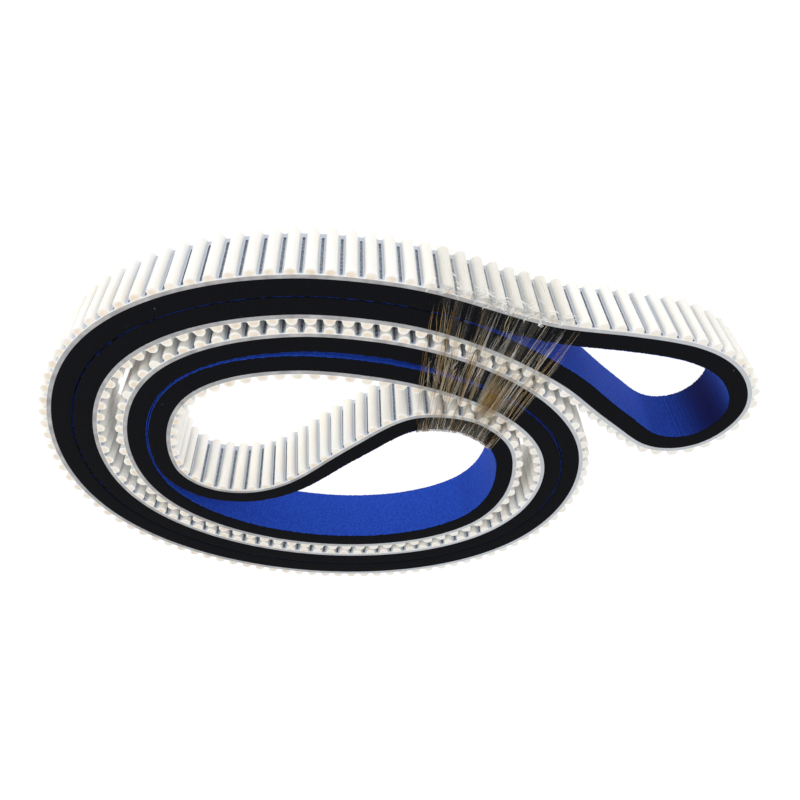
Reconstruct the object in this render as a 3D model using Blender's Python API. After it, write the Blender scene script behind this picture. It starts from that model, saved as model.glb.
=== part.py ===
"""Endless polyurethane timing belt with a sponge and fabric back, coiled and bound with film.

The belt lies on its side edge. Its whole course is one closed line in plan, the pitch line, where
the steel tension cords run. Every layer is a strip at a set distance from that line: teeth on one
side, polyurethane back, sponge and fabric on the other. The belt is doubled, back against back,
and the doubled band is rolled up once; its two folds are the outer loop and the inner loop.
"""
import math

import bmesh
import bpy
import numpy as np

MM = 0.001

# Belt section, millimetres. Distances are from the cord line, positive towards the teeth.
BELT_WIDTH = 30.0
TOOTH_PITCH = 8.0
TOOTH_TIP = 4.07
TOOTH_ROOT = 0.69
TOOTH_ROOT_HALF = 2.60
TOOTH_TIP_HALF = 1.35
CORD_SPACE = 0.36
BODY_BACK = 1.50
SPONGE_THICKNESS = 7.8
FABRIC_THICKNESS = 0.6
BOND_GAP = 0.2
FABRIC_EDGE_INSET = 0.2
SPONGE_TOP = BODY_BACK + BOND_GAP
FABRIC_TOP = SPONGE_TOP + SPONGE_THICKNESS + BOND_GAP
BELT_BACK = FABRIC_TOP + FABRIC_THICKNESS

# Tension cords: evenly spaced across the width, three-sided strands in the cord plane.
CORD_COUNT = 10
CORD_EDGE_MARGIN = 2.0
CORD_RADIUS = 0.28
CORD_FLATNESS = 0.75

# Plan of the doubled band: a tilted oval, given as its distance from the coil centre in each
# direction, which shrinks by one turn's spacing every full turn.
COIL_CENTRE = (30.6, 7.8)
COIL_HALF_LENGTH = 134.5
COIL_HALF_DEPTH = 102.7
COIL_TILT = math.radians(-15.0)
EGG_SHAPE = (-0.8, -0.5)
SQUARENESS = -1.1
BACK_TO_BACK_GAP = 0.6
TIP_GAP = 0.66
TIP_GAP_GROWTH = 1.9
STRAND_SPACING = 2 * BELT_BACK + BACK_TO_BACK_GAP
TURN_SPACING = STRAND_SPACING + 2 * TOOTH_TIP + TIP_GAP
SLACK_GAP = 2.2
SLACK_AT = math.radians(253.0)
SLACK_SPREAD = math.radians(20.0)

# Angles, in degrees, between which each strand of the band follows the oval.
OUTER_STRAND = (-110, 490)
INNER_STRAND = (360, -110)
STATION_STEP = 10
TEETH_MEET_AT = -100

# Points of the pitch line round the two folds, chosen by hand. Each is a distance along and a
# distance to the side of the straight line that joins the two strand ends, for that span.
INNER_FOLD_SPAN = 171.0
INNER_FOLD = (
    (4.5, -53.5), (13.5, -65.5), (26.0, -73.0), (40.5, -76.5), (56.0, -74.5),
    (69.0, -69.0), (78.5, -59.0), (87.5, -44.5), (98.0, -26.0), (107.5, -8.5),
    (118.0, 4.5), (130.5, 13.0), (144.5, 16.5), (158.0, 14.0), (167.0, 7.0),
)
OUTER_FOLD_SPAN = 21.2
OUTER_FOLD = (
    (-10.0, -58.0), (-16.5, -76.5), (-27.0, -97.5), (-36.0, -116.5), (-42.5, -134.5),
    (-41.5, -148.5), (-33.5, -162.0), (-18.5, -169.5), (-2.5, -168.5), (9.5, -160.5),
    (20.5, -144.0), (25.0, -124.0), (25.0, -106.5), (23.0, -85.5), (19.0, -55.0),
)

# The free strand inside the coil leans, teeth upwards, between two points of the inner fold.
LEAN = math.radians(5.5)
LEAN_FOLD_POINTS = (6, 14)

# Binding film: one flat band wound round the five strands where they lie side by side. Outside
# the coil it covers a length of belt measured from the start of the outer strand, and inside it
# the stretch between two places in the inner fold, counted in that fold's points.
FILM_THICKNESS = 0.30
FILM_GAP = 0.40
FILM_OUTSIDE = (-68.0, 6.0)
FILM_INSIDE = (1.4, 5.1)
FILM_STATIONS = 12
FILM_RAMP = 26.0

SPAN_STEPS = 16
FOLD_CUTS = 2

COLOURS = {
    "polyurethane": ((0.93, 0.93, 0.90), 0.35, 0.0),
    "back": ((0.80, 0.82, 0.83), 0.40, 0.0),
    "sponge": ((0.012, 0.013, 0.016), 0.95, 0.0),
    "fabric": ((0.015, 0.052, 0.48), 0.85, 0.0),
    "steel": ((0.45, 0.46, 0.48), 0.35, 1.0),
    "film": ((0.88, 0.84, 0.74), 0.15, 0.0),
}


def clear_scene():
    """Remove every object of the start-up scene."""
    for item in list(bpy.data.objects):
        bpy.data.objects.remove(item, do_unlink=True)


def support(angle, inner):
    """Distance of the pitch line's tangent from the coil centre, in the direction angle."""
    turned = angle - COIL_TILT
    reach = np.hypot(COIL_HALF_LENGTH * np.cos(turned), COIL_HALF_DEPTH * np.sin(turned))
    reach = reach + EGG_SHAPE[0] * np.cos(3 * turned) + EGG_SHAPE[1] * np.sin(3 * turned)
    reach = reach + SQUARENESS * np.cos(4 * turned)
    spacing = TURN_SPACING + TIP_GAP_GROWTH * (1 + np.cos(2 * turned))
    reach = reach - spacing * (angle - math.pi / 2) / (2 * math.pi)
    if inner:
        slack = SLACK_GAP * np.exp(-((angle - SLACK_AT) / SLACK_SPREAD) ** 2)
        reach = reach - STRAND_SPACING - slack
    return reach


def strand_points(first, last, inner):
    """Points of one strand of the doubled band, one every STATION_STEP degrees."""
    step = STATION_STEP if last > first else -STATION_STEP
    angle = np.radians(np.arange(first, last + step / 2, step))
    small = 1e-4
    reach = support(angle, inner)
    slope = (support(angle + small, inner) - support(angle - small, inner)) / (2 * small)
    outward = np.stack([np.cos(angle), np.sin(angle)], axis=1)
    along = np.stack([-np.sin(angle), np.cos(angle)], axis=1)
    return reach[:, None] * outward + slope[:, None] * along + np.array(COIL_CENTRE)


def fold_points(fold, span, start, end, widens):
    """Points of one fold, carried along with the two strand ends that it joins."""
    chord = end - start
    length = np.linalg.norm(chord)
    stretch = length / span
    ahead = chord / length * stretch
    aside = np.array([-ahead[1], ahead[0]])
    if not widens:
        aside = aside / stretch
    return np.array([start + along * ahead + side * aside for along, side in fold])


def course_knots():
    """All the points of the closed pitch line, part by part."""
    outer = strand_points(*OUTER_STRAND, False)
    inner = strand_points(*INNER_STRAND, True)
    inner_fold = fold_points(INNER_FOLD, INNER_FOLD_SPAN, outer[-1], inner[0], True)
    outer_fold = fold_points(OUTER_FOLD, OUTER_FOLD_SPAN, inner[-1], outer[0], False)
    return outer, inner_fold, inner, outer_fold


def smooth_slopes(knots, gaps):
    """Slopes at the knots of the closed curve whose curvature has no jumps."""
    count = len(knots)
    matrix = np.zeros((count, count))
    right = np.zeros_like(knots)
    for i in range(count):
        before, after = gaps[i - 1], gaps[i]
        nxt = (i + 1) % count
        matrix[i, i - 1] = after
        matrix[i, i] = 2 * (before + after)
        matrix[i, nxt] = before
        back = (knots[i] - knots[i - 1]) / before
        ahead = (knots[nxt] - knots[i]) / after
        right[i] = 3 * (after * back + before * ahead)
    return np.linalg.solve(matrix, right)


def span_point(start, end, start_slope, end_slope, gap, t):
    """Point and direction at fraction t of one span of the curve."""
    point = (2 * t**3 - 3 * t**2 + 1) * start + (t**3 - 2 * t**2 + t) * gap * start_slope
    point = point + (3 * t**2 - 2 * t**3) * end + (t**3 - t**2) * gap * end_slope
    direction = (6 * t**2 - 6 * t) * (start - end) / gap
    direction = direction + (3 * t**2 - 4 * t + 1) * start_slope + (3 * t**2 - 2 * t) * end_slope
    return point, direction / np.linalg.norm(direction)


class Course:
    """The closed pitch line cut into straight stretches between stations."""

    def __init__(self):
        parts = course_knots()
        in_fold = sum(([n % 2 == 1] * len(part) for n, part in enumerate(parts)), [])
        self.inner_fold_start = len(parts[0])
        self.inner_strand_start = len(parts[0]) + len(parts[1])
        self.trace(np.concatenate(parts), in_fold)
        outline = self.points + TOOTH_TIP * self.normals
        self.points = self.points - (outline.min(axis=0) + outline.max(axis=0)) / 2
        self.pitch = self.length / round(self.length / TOOTH_PITCH)
        self.lean = self.lean_profile()
        self.lift = self.lift_profile()

    def trace(self, knots, in_fold):
        """Run a smooth curve through the knots and keep its stations and their distances."""
        gaps = np.linalg.norm(np.roll(knots, -1, axis=0) - knots, axis=1)
        slopes = smooth_slopes(knots, gaps)
        points, normals, lengths, self.knot_at = [], [], [0.0], []
        for i, gap in enumerate(gaps):
            j = (i + 1) % len(knots)
            cuts = FOLD_CUTS if in_fold[i] or in_fold[j] else 1
            fine = [span_point(knots[i], knots[j], slopes[i], slopes[j], gap, n / SPAN_STEPS)
                    for n in range(SPAN_STEPS + 1)]
            self.knot_at.append(lengths[-1])
            for cut in range(cuts):
                point, direction = fine[cut * SPAN_STEPS // cuts]
                points.append(point)
                normals.append((direction[1], -direction[0]))
            spots = np.array([spot for spot, _ in fine])
            steps = np.linalg.norm(np.diff(spots, axis=0), axis=1)
            for share in np.split(steps, cuts):
                lengths.append(lengths[-1] + share.sum())
        self.points = np.array(points)
        self.normals = np.array(normals)
        self.start = np.array(lengths[:-1])
        self.length = lengths[-1]

    def lean_profile(self):
        """How far each station tips over, teeth upwards, on the free strand of the inner fold."""
        first, last = (self.knot_at[self.inner_fold_start + n] for n in LEAN_FOLD_POINTS)
        share = np.clip((self.start - first) / (last - first), 0.0, 1.0)
        return LEAN * np.sin(math.pi * share) ** 2

    def film_ends(self):
        """Distances along the belt of the film's two ends, outside and inside the coil."""
        fold = self.knot_at[self.inner_fold_start:self.inner_strand_start]
        return FILM_OUTSIDE, tuple(np.interp(FILM_INSIDE, range(len(fold)), fold))

    def lift_profile(self):
        """How far each station is raised to pass over the film under the coil."""
        stack = FILM_THICKNESS + FILM_GAP
        outside, inside = self.film_ends()
        corners = [self.plan(along, TOOTH_TIP) for along in outside]
        corners += [self.plan(along, -BELT_BACK) for along in inside[::-1]]
        middle = sum(corners) / len(corners)
        depth = np.full(len(self.points), np.inf)
        for i, corner in enumerate(corners):
            side = corners[(i + 1) % len(corners)] - corner
            normal = np.array([side[1], -side[0]]) / np.linalg.norm(side)
            normal = normal * np.sign(np.dot(middle - corner, normal))
            depth = np.minimum(depth, (self.points - corner) @ normal)
        return stack * np.clip(2.0 + depth / FILM_RAMP, 0.0, 1.0)

    def tooth_phase(self):
        """Distance to the first tooth, so that facing turns meet tip to tip at one angle."""
        outer_knot = (TEETH_MEET_AT + 360 - OUTER_STRAND[0]) // STATION_STEP
        inner_knot = (INNER_STRAND[0] - TEETH_MEET_AT) // STATION_STEP
        outer_at = self.knot_at[outer_knot]
        inner_at = self.knot_at[self.inner_strand_start + inner_knot]
        return (outer_at + inner_at) / 2 % self.pitch

    def locate(self, along):
        """Stretch number and fraction along it for a distance round the line."""
        along = along % self.length
        i = int(np.searchsorted(self.start, along, side="right")) - 1
        j = (i + 1) % len(self.start)
        end = self.start[j] if j else self.length
        return i, j, (along - self.start[i]) / (end - self.start[i])

    def plan(self, along, offset):
        """Plan position at a distance round the line and a distance off it."""
        i, j, t = self.locate(along)
        point = (1 - t) * self.points[i] + t * self.points[j]
        return point + offset * ((1 - t) * self.normals[i] + t * self.normals[j])

    def place(self, along, offset, height):
        """Position in space, metres: offset towards the teeth, height across the belt's width."""
        i, j, t = self.locate(along)
        point = (1 - t) * self.points[i] + t * self.points[j]
        normal = (1 - t) * self.normals[i] + t * self.normals[j]
        lean = (1 - t) * self.lean[i] + t * self.lean[j]
        lift = (1 - t) * self.lift[i] + t * self.lift[j]
        level = offset * math.cos(lean) + (BELT_WIDTH - height) * math.sin(lean)
        rise = lift + (offset + BELT_BACK) * math.sin(lean) + height * math.cos(lean)
        x, y = point + level * normal
        return (x * MM, y * MM, rise * MM)


def finish(name, kind, verts, faces):
    """Make one closed object with its own material."""
    mesh = bpy.data.meshes.new(name)
    mesh.from_pydata(verts, [], faces)
    shape = bmesh.new()
    shape.from_mesh(mesh)
    bmesh.ops.recalc_face_normals(shape, faces=shape.faces)
    shape.to_mesh(mesh)
    shape.free()
    colour, rough, metal = COLOURS[kind]
    material = bpy.data.materials.new(name)
    material.use_nodes = True
    shader = material.node_tree.nodes["Principled BSDF"]
    shader.inputs["Base Color"].default_value = (*colour, 1.0)
    shader.inputs["Roughness"].default_value = rough
    shader.inputs["Metallic"].default_value = metal
    mesh.materials.append(material)
    piece = bpy.data.objects.new(name, mesh)
    bpy.context.scene.collection.objects.link(piece)
    return piece


def split_quad(here, above, above_ahead, ahead):
    """Two triangles; every layer is cut along the same diagonal, so layers stay apart."""
    return [(here, above, above_ahead), (here, above_ahead, ahead)]


def sweep(course, name, kind, section):
    """Closed ring that carries a section (offset, height) round every station."""
    size = len(section)
    verts, faces = [], []
    for along in course.start:
        verts += [course.place(along, offset, height) for offset, height in section]
    total = len(verts)
    for base in range(0, total, size):
        for k in range(size):
            here, beside = base + k, base + (k + 1) % size
            if section[k][1] > section[(k + 1) % size][1]:
                here, beside = beside, here
            faces += split_quad(here, beside, (beside + size) % total, (here + size) % total)
    return finish(name, kind, verts, faces)


def strip(course, name, kind, layer, inset=0.0):
    """Flat layer of the belt, behind the cord line, between two distances from it."""
    low, high = inset, BELT_WIDTH - inset
    near, far = layer
    section = ((-near, low), (-far, low), (-far, high), (-near, high))
    return sweep(course, name, kind, section)


def tooth_outline(course):
    """Distances and offsets of the toothed side, four points to a tooth."""
    count = round(course.length / course.pitch)
    phase = course.tooth_phase()
    corners = ((-TOOTH_ROOT_HALF, TOOTH_ROOT), (-TOOTH_TIP_HALF, TOOTH_TIP),
               (TOOTH_TIP_HALF, TOOTH_TIP), (TOOTH_ROOT_HALF, TOOTH_ROOT))
    outline = []
    for tooth in range(count):
        centre = phase + tooth * course.pitch
        outline += [((centre + shift) % course.length, offset) for shift, offset in corners]
    first = min(range(len(outline)), key=lambda n: outline[n][0])
    return outline[first:] + outline[:first]


def edge_face(outline, stations, shift, flip):
    """Triangles of one side edge, zipped between the toothed line and the web underside."""
    faces = []
    top, base = 0, 0
    while top < len(outline) or base < len(stations):
        next_top = outline[top + 1][0] if top + 1 < len(outline) else math.inf
        next_base = stations[base + 1] if base + 1 < len(stations) else math.inf
        here, under = top % len(outline), base % len(stations)
        if top < len(outline) and (next_top <= next_base or base >= len(stations)):
            ahead = (top + 1) % len(outline)
            face = (shift[0] + here, shift[0] + ahead, shift[1] + under)
            top += 1
        else:
            ahead = (base + 1) % len(stations)
            face = (shift[0] + here, shift[1] + ahead, shift[1] + under)
            base += 1
        faces.append(face[::-1] if flip else face)
    return faces


def build_tooth_layer(course):
    """Toothed web of the belt, down to just above the tension cords."""
    outline = tooth_outline(course)
    stations = list(course.start)
    many, few = len(outline), len(stations)
    verts = []
    for height in (0.0, BELT_WIDTH):
        verts += [course.place(along, offset, height) for along, offset in outline]
        verts += [course.place(along, CORD_SPACE, height) for along in stations]
    upper = many + few
    faces = edge_face(outline, stations, (0, many), False)
    faces += edge_face(outline, stations, (upper, upper + many), True)
    for k in range(many):
        ahead = (k + 1) % many
        faces += split_quad(k, upper + k, upper + ahead, ahead)
    for k in range(many, upper):
        ahead = k + 1 if k + 1 < upper else many
        faces += split_quad(k, upper + k, upper + ahead, ahead)
    return finish("polyurethane_tooth_layer", "polyurethane", verts, faces)


def build_cords(course):
    """Steel tension cords side by side in the cord plane, each one closed round the belt."""
    pitch = (BELT_WIDTH - 2 * CORD_EDGE_MARGIN) / (CORD_COUNT - 1)
    corners = [math.radians(90.0 + 120.0 * k) for k in range(3)]
    for number in range(CORD_COUNT):
        height = CORD_EDGE_MARGIN + number * pitch
        section = [(CORD_RADIUS * CORD_FLATNESS * math.sin(a), height + CORD_RADIUS * math.cos(a))
                   for a in corners]
        sweep(course, f"steel_cord_{number + 1:02d}", "steel", section)


def build_film(course):
    """Clear band wound round the five strands, closed on itself."""
    outside, inside = (np.linspace(*ends, FILM_STATIONS) for ends in course.film_ends())
    verts, faces = [], []
    top = BELT_WIDTH + 2 * FILM_GAP + FILM_THICKNESS
    for out_along, in_along in zip(outside, inside):
        for grow in (0.0, FILM_THICKNESS):
            outer = course.plan(out_along, TOOTH_TIP + FILM_GAP + grow)
            inner = course.plan(in_along, -BELT_BACK - FILM_GAP - grow)
            low, high = FILM_THICKNESS - grow, top + grow
            for (x, y), z in ((outer, low), (outer, high), (inner, high), (inner, low)):
                verts.append((x * MM, y * MM, z * MM))
    for n in range(FILM_STATIONS - 1):
        for shell in (0, 4):
            for k in range(4):
                here, beside = 8 * n + shell + k, 8 * n + shell + (k + 1) % 4
                faces.append((here, beside, beside + 8, here + 8))
    for base in (0, 8 * (FILM_STATIONS - 1)):
        for k in range(4):
            beside = (k + 1) % 4
            faces.append((base + k, base + beside, base + 4 + beside, base + 4 + k))
    return finish("binding_film", "film", verts, faces)


def main():
    clear_scene()
    course = Course()
    build_tooth_layer(course)
    build_cords(course)
    strip(course, "polyurethane_back_layer", "back", (CORD_SPACE, BODY_BACK))
    strip(course, "sponge_backing", "sponge", (SPONGE_TOP, SPONGE_TOP + SPONGE_THICKNESS))
    strip(course, "cover_fabric", "fabric", (FABRIC_TOP, BELT_BACK), FABRIC_EDGE_INSET)
    build_film(course)


main()
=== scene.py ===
"""The looks of a coiled timing belt: moulded teeth, steel cords, sponge, cover fabric and film.

The endless belt lies on its side edge. It is doubled back against back, rolled up once, and bound
where five strands lie side by side. Each layer is modelled as one straight pitch of belt, repeated
for every tooth, and wound round the pitch line that the cords follow.
"""
import logging
import math
from collections.abc import Callable
from dataclasses import dataclass
from enum import Enum
from functools import partial

import bmesh
import bpy
import numpy as np
from mathutils import Matrix, Vector


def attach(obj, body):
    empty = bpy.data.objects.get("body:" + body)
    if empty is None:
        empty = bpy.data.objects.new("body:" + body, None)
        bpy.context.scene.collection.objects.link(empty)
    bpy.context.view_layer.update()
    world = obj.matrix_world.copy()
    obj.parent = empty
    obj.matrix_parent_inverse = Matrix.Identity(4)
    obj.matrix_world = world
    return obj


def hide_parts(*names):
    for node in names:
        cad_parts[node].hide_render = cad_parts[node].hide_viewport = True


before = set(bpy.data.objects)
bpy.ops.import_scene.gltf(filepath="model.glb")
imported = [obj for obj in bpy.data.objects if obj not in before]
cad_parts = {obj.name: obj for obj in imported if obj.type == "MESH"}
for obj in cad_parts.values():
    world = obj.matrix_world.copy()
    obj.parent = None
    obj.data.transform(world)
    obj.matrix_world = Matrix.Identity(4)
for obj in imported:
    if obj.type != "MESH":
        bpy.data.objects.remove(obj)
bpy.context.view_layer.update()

MM = 0.001
CLOSE = 1e-3  # millimetres within which two places count as one
LOG = logging.getLogger("timing_belt")

Array = np.ndarray
Piece = bpy.types.Object


class Seed(Enum):
    """Numbers that fix the draws of each irregular thing."""

    SPONGE_FACE = 11
    SPONGE_LINE = 12
    PUCKERS = 21
    FACING_EDGE = 22
    FIBRES = 31
    FILM_FINE = 41
    FILM_BROAD = 42
    FILM_KNOTS = 43
    FILM_HAZE = 44
    STRING_SWAY = 51
    STRINGS = 61


class Side(Enum):
    """The two cut side edges of the belt, by their direction across it."""

    LOWER = -1
    UPPER = 1


# --------------------------------------------------------------------------- the belt's course


@dataclass(frozen=True)
class Section:
    """Section of the belt in millimetres; distances are from the cord line, teeth positive."""

    width: float = 30.0
    pitch: float = 8.0
    tooth_tip: float = 4.07
    tooth_root: float = 0.69
    root_fillet: float = 0.80
    body_back: float = 1.50
    belt_back: float = 10.30
    bends_at: tuple[float, float, float] = (2.0, 4.0, 6.0)

    def at_side(self, spot: Vector) -> bool:
        """Whether a place lies in one of the two cut side edges."""
        return spot.y < CLOSE or spot.y > self.width - CLOSE

    def at_end(self, spot: Vector) -> bool:
        """Whether a place lies at either end of one straight pitch."""
        return spot.x < CLOSE or spot.x > self.pitch - CLOSE


@dataclass
class Course:
    """The closed pitch line in plan, as a fine table of places, directions, lean and lift.

    The doubled band follows a tilted oval that shrinks by one turn's spacing each full turn. Its
    two folds, the outer loop and the inner loop, run through listed points.
    """

    section: Section
    centre: tuple[float, float] = (30.6, 7.8)
    half_length: float = 134.5
    half_depth: float = 102.7
    tilt: float = math.radians(-15.0)
    egg_shape: tuple[float, float] = (-0.8, -0.5)
    squareness: float = -1.1
    back_to_back_gap: float = 0.6
    tip_gap: float = 0.66
    tip_gap_growth: float = 1.9
    slack_gap: float = 2.2
    slack_at: float = math.radians(253.0)
    slack_spread: float = math.radians(20.0)
    outer_strand: tuple[int, int] = (-110, 490)
    inner_strand: tuple[int, int] = (360, -110)
    station_step: int = 10
    teeth_meet_at: int = -100
    inner_fold_span: float = 171.0
    inner_fold: tuple[tuple[float, float], ...] = (
        (4.5, -53.5), (13.5, -65.5), (26.0, -73.0), (40.5, -76.5), (56.0, -74.5),
        (69.0, -69.0), (78.5, -59.0), (87.5, -44.5), (98.0, -26.0), (107.5, -8.5),
        (118.0, 4.5), (130.5, 13.0), (144.5, 16.5), (158.0, 14.0), (167.0, 7.0),
    )
    outer_fold_span: float = 21.2
    outer_fold: tuple[tuple[float, float], ...] = (
        (-10.0, -58.0), (-16.5, -76.5), (-27.0, -97.5), (-36.0, -116.5), (-42.5, -134.5),
        (-41.5, -148.5), (-33.5, -162.0), (-18.5, -169.5), (-2.5, -168.5), (9.5, -160.5),
        (20.5, -144.0), (25.0, -124.0), (25.0, -106.5), (23.0, -85.5), (19.0, -55.0),
    )
    lean: float = math.radians(5.5)
    lean_fold_points: tuple[int, int] = (6, 14)
    film_outside: tuple[float, float] = (-68.0, 6.0)
    film_inside: tuple[float, float] = (1.4, 5.1)
    film_stack: float = 0.70
    film_ramp: float = 26.0
    span_steps: int = 16

    def __post_init__(self) -> None:
        """Trace the line, centre it, and work out the teeth, the lean and the lift."""
        self.strand_spacing = 2 * self.section.belt_back + self.back_to_back_gap
        self.turn_spacing = self.strand_spacing + 2 * self.section.tooth_tip + self.tip_gap
        parts = self.knots()
        self.inner_fold_start = len(parts[0])
        self.inner_strand_start = len(parts[0]) + len(parts[1])
        in_fold = [n % 2 == 1 for n, part in enumerate(parts) for _ in part]
        stations = self.trace(np.concatenate(parts), in_fold)
        outline = self.points[stations] + self.section.tooth_tip * self.normals[stations]
        self.points = self.points - (outline.min(axis=0) + outline.max(axis=0)) / 2
        self.teeth = round(self.length / self.section.pitch)
        self.pitch = self.length / self.teeth
        self.phase = self.tooth_phase()
        self.leans = self.lean_table()
        self.lifts = self.lift_table()

    def support(self, angle: Array, inner: bool) -> Array:
        """Distance of the line's tangent from the coil centre.

        Args:
            angle: directions from the centre, radians, which grow past a full turn.
            inner: whether it is the band's inner strand.

        Returns:
            The distances in millimetres.
        """
        turned = angle - self.tilt
        reach = np.hypot(self.half_length * np.cos(turned), self.half_depth * np.sin(turned))
        reach = reach + self.egg_shape[0] * np.cos(3 * turned)
        reach = reach + self.egg_shape[1] * np.sin(3 * turned)
        reach = reach + self.squareness * np.cos(4 * turned)
        spacing = self.turn_spacing + self.tip_gap_growth * (1 + np.cos(2 * turned))
        reach = reach - spacing * (angle - math.pi / 2) / (2 * math.pi)
        if inner:
            slack = self.slack_gap * np.exp(-((angle - self.slack_at) / self.slack_spread) ** 2)
            reach = reach - self.strand_spacing - slack
        return reach

    def strand(self, ends: tuple[int, int], inner: bool) -> Array:
        """Points of one strand of the band, one every station step between two angles."""
        step = self.station_step if ends[1] > ends[0] else -self.station_step
        angle = np.radians(np.arange(ends[0], ends[1] + step / 2, step))
        small = 1e-4
        ahead, behind = self.support(angle + small, inner), self.support(angle - small, inner)
        slope = (ahead - behind) / (2 * small)
        outward = np.stack([np.cos(angle), np.sin(angle)], axis=1)
        along = np.stack([-np.sin(angle), np.cos(angle)], axis=1)
        reach = self.support(angle, inner)
        return reach[:, None] * outward + slope[:, None] * along + np.array(self.centre)

    def fold(self, points: tuple, span: float, start: Array, end: Array, widens: bool) -> Array:
        """Points of one fold, carried along with the two strand ends that it joins.

        Args:
            points: distances along and beside the line between the strand ends.
            span: length of that line for which the points were chosen.
            start: end of the strand before the fold.
            end: start of the strand after it.
            widens: whether the fold grows sideways too when the span grows.

        Returns:
            The points in plan.
        """
        chord = end - start
        stretch = np.linalg.norm(chord) / span
        ahead = chord / np.linalg.norm(chord) * stretch
        aside = np.array([-ahead[1], ahead[0]])
        if not widens:
            aside = aside / stretch
        return np.array([start + along * ahead + side * aside for along, side in points])

    def knots(self) -> tuple[Array, Array, Array, Array]:
        """The points of the closed line: outer strand, inner fold, inner strand, outer fold."""
        outer = self.strand(self.outer_strand, False)
        inner = self.strand(self.inner_strand, True)
        inside = self.fold(self.inner_fold, self.inner_fold_span, outer[-1], inner[0], True)
        outside = self.fold(self.outer_fold, self.outer_fold_span, inner[-1], outer[0], False)
        return outer, inside, inner, outside

    @staticmethod
    def smooth_slopes(knots: Array, gaps: Array) -> Array:
        """Slopes at the knots of the closed curve whose curvature has no jumps."""
        before, after = np.roll(gaps, 1), gaps
        matrix = np.diag(2 * (before + after))
        matrix += np.roll(np.diag(after), -1, axis=1) + np.roll(np.diag(before), 1, axis=1)
        back = (knots - np.roll(knots, 1, axis=0)) / before[:, None]
        ahead = (np.roll(knots, -1, axis=0) - knots) / after[:, None]
        right = 3 * (after[:, None] * back + before[:, None] * ahead)
        return np.linalg.solve(matrix, right)

    def trace(self, knots: Array, in_fold: list[bool]) -> list[int]:
        """Run the curve through the knots and keep its points, normals and distances.

        Args:
            knots: points in plan.
            in_fold: whether each knot belongs to a fold.

        Returns:
            The rows of the table at which the CAD solids have a station.
        """
        following = np.roll(knots, -1, axis=0)
        gaps = np.linalg.norm(following - knots, axis=1)
        slopes = self.smooth_slopes(knots, gaps)
        ahead = np.roll(slopes, -1, axis=0)
        t = np.linspace(0, 1, self.span_steps, endpoint=False)[None, :, None]
        start, end, gap = knots[:, None], following[:, None], gaps[:, None, None]
        point = (2 * t**3 - 3 * t**2 + 1) * start + (t**3 - 2 * t**2 + t) * gap * slopes[:, None]
        point = point + (3 * t**2 - 2 * t**3) * end + (t**3 - t**2) * gap * ahead[:, None]
        way = (6 * t**2 - 6 * t) * (start - end) / gap + (3 * t**2 - 4 * t + 1) * slopes[:, None]
        way = (way + (3 * t**2 - 2 * t) * ahead[:, None]).reshape(-1, 2)
        way = way / np.linalg.norm(way, axis=1)[:, None]
        self.points = point.reshape(-1, 2)
        self.normals = np.stack([way[:, 1], -way[:, 0]], axis=1)
        steps = np.linalg.norm(np.roll(self.points, -1, axis=0) - self.points, axis=1)
        self.distance = np.concatenate([[0.0], np.cumsum(steps)])
        self.length = float(self.distance[-1])
        self.knot_at = self.distance[:-1:self.span_steps]
        turn = np.unwrap(np.arctan2(way[:, 1], way[:, 0]))
        self.bend = np.gradient(turn, self.distance[:-1])
        stations = []
        for i, folded in enumerate(in_fold):
            cuts = 2 if folded or in_fold[(i + 1) % len(in_fold)] else 1
            steps = self.span_steps
            stations += [i * steps + cut * steps // cuts for cut in range(cuts)]
        return stations

    def tooth_phase(self) -> float:
        """Distance to the first tooth, so that facing turns meet tip to tip at one angle."""
        outer = (self.teeth_meet_at + 360 - self.outer_strand[0]) // self.station_step
        inner = (self.inner_strand[0] - self.teeth_meet_at) // self.station_step
        both = self.knot_at[outer] + self.knot_at[self.inner_strand_start + inner]
        return float(both / 2 % self.pitch)

    def lean_table(self) -> Array:
        """How far the free strand inside the coil tips over, teeth upwards, radians."""
        first, last = (self.knot_at[self.inner_fold_start + n] for n in self.lean_fold_points)
        share = np.clip((self.distance[:-1] - first) / (last - first), 0.0, 1.0)
        return self.lean * np.sin(math.pi * share) ** 2

    def film_ends(self) -> tuple[tuple[float, float], tuple[float, float]]:
        """Distances along the belt of the film's two ends, outside and inside the coil."""
        fold = self.knot_at[self.inner_fold_start:self.inner_strand_start]
        start, end = np.interp(self.film_inside, range(len(fold)), fold)
        return self.film_outside, (float(start), float(end))

    def lift_table(self) -> Array:
        """How far the belt is raised to pass over the film under the coil, millimetres."""
        outside, inside = self.film_ends()
        corners = list(self.plan(np.array(outside), self.section.tooth_tip))
        corners += list(self.plan(np.array(inside[::-1]), -self.section.belt_back))
        middle = sum(corners) / len(corners)
        depth = np.full(len(self.points), np.inf)
        for i, corner in enumerate(corners):
            side = corners[(i + 1) % len(corners)] - corner
            normal = np.array([side[1], -side[0]]) / np.linalg.norm(side)
            normal = normal * np.sign(np.dot(middle - corner, normal))
            depth = np.minimum(depth, (self.points - corner) @ normal)
        return self.film_stack * np.clip(2.0 + depth / self.film_ramp, 0.0, 1.0)

    def look_up(self, table: Array, along: Array) -> Array:
        """Values of one column of the table at distances round the line."""
        closed = np.concatenate([table, table[:1]])
        return np.interp(np.mod(along, self.length), self.distance, closed)

    def plan(self, along: Array, offset: Array | float) -> Array:
        """Places in plan at distances round the line and distances off it."""
        point = np.stack([self.look_up(self.points[:, k], along) for k in (0, 1)], axis=-1)
        normal = np.stack([self.look_up(self.normals[:, k], along) for k in (0, 1)], axis=-1)
        normal = normal / np.linalg.norm(normal, axis=-1, keepdims=True)
        return point + np.asarray(offset)[..., None] * normal

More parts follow.
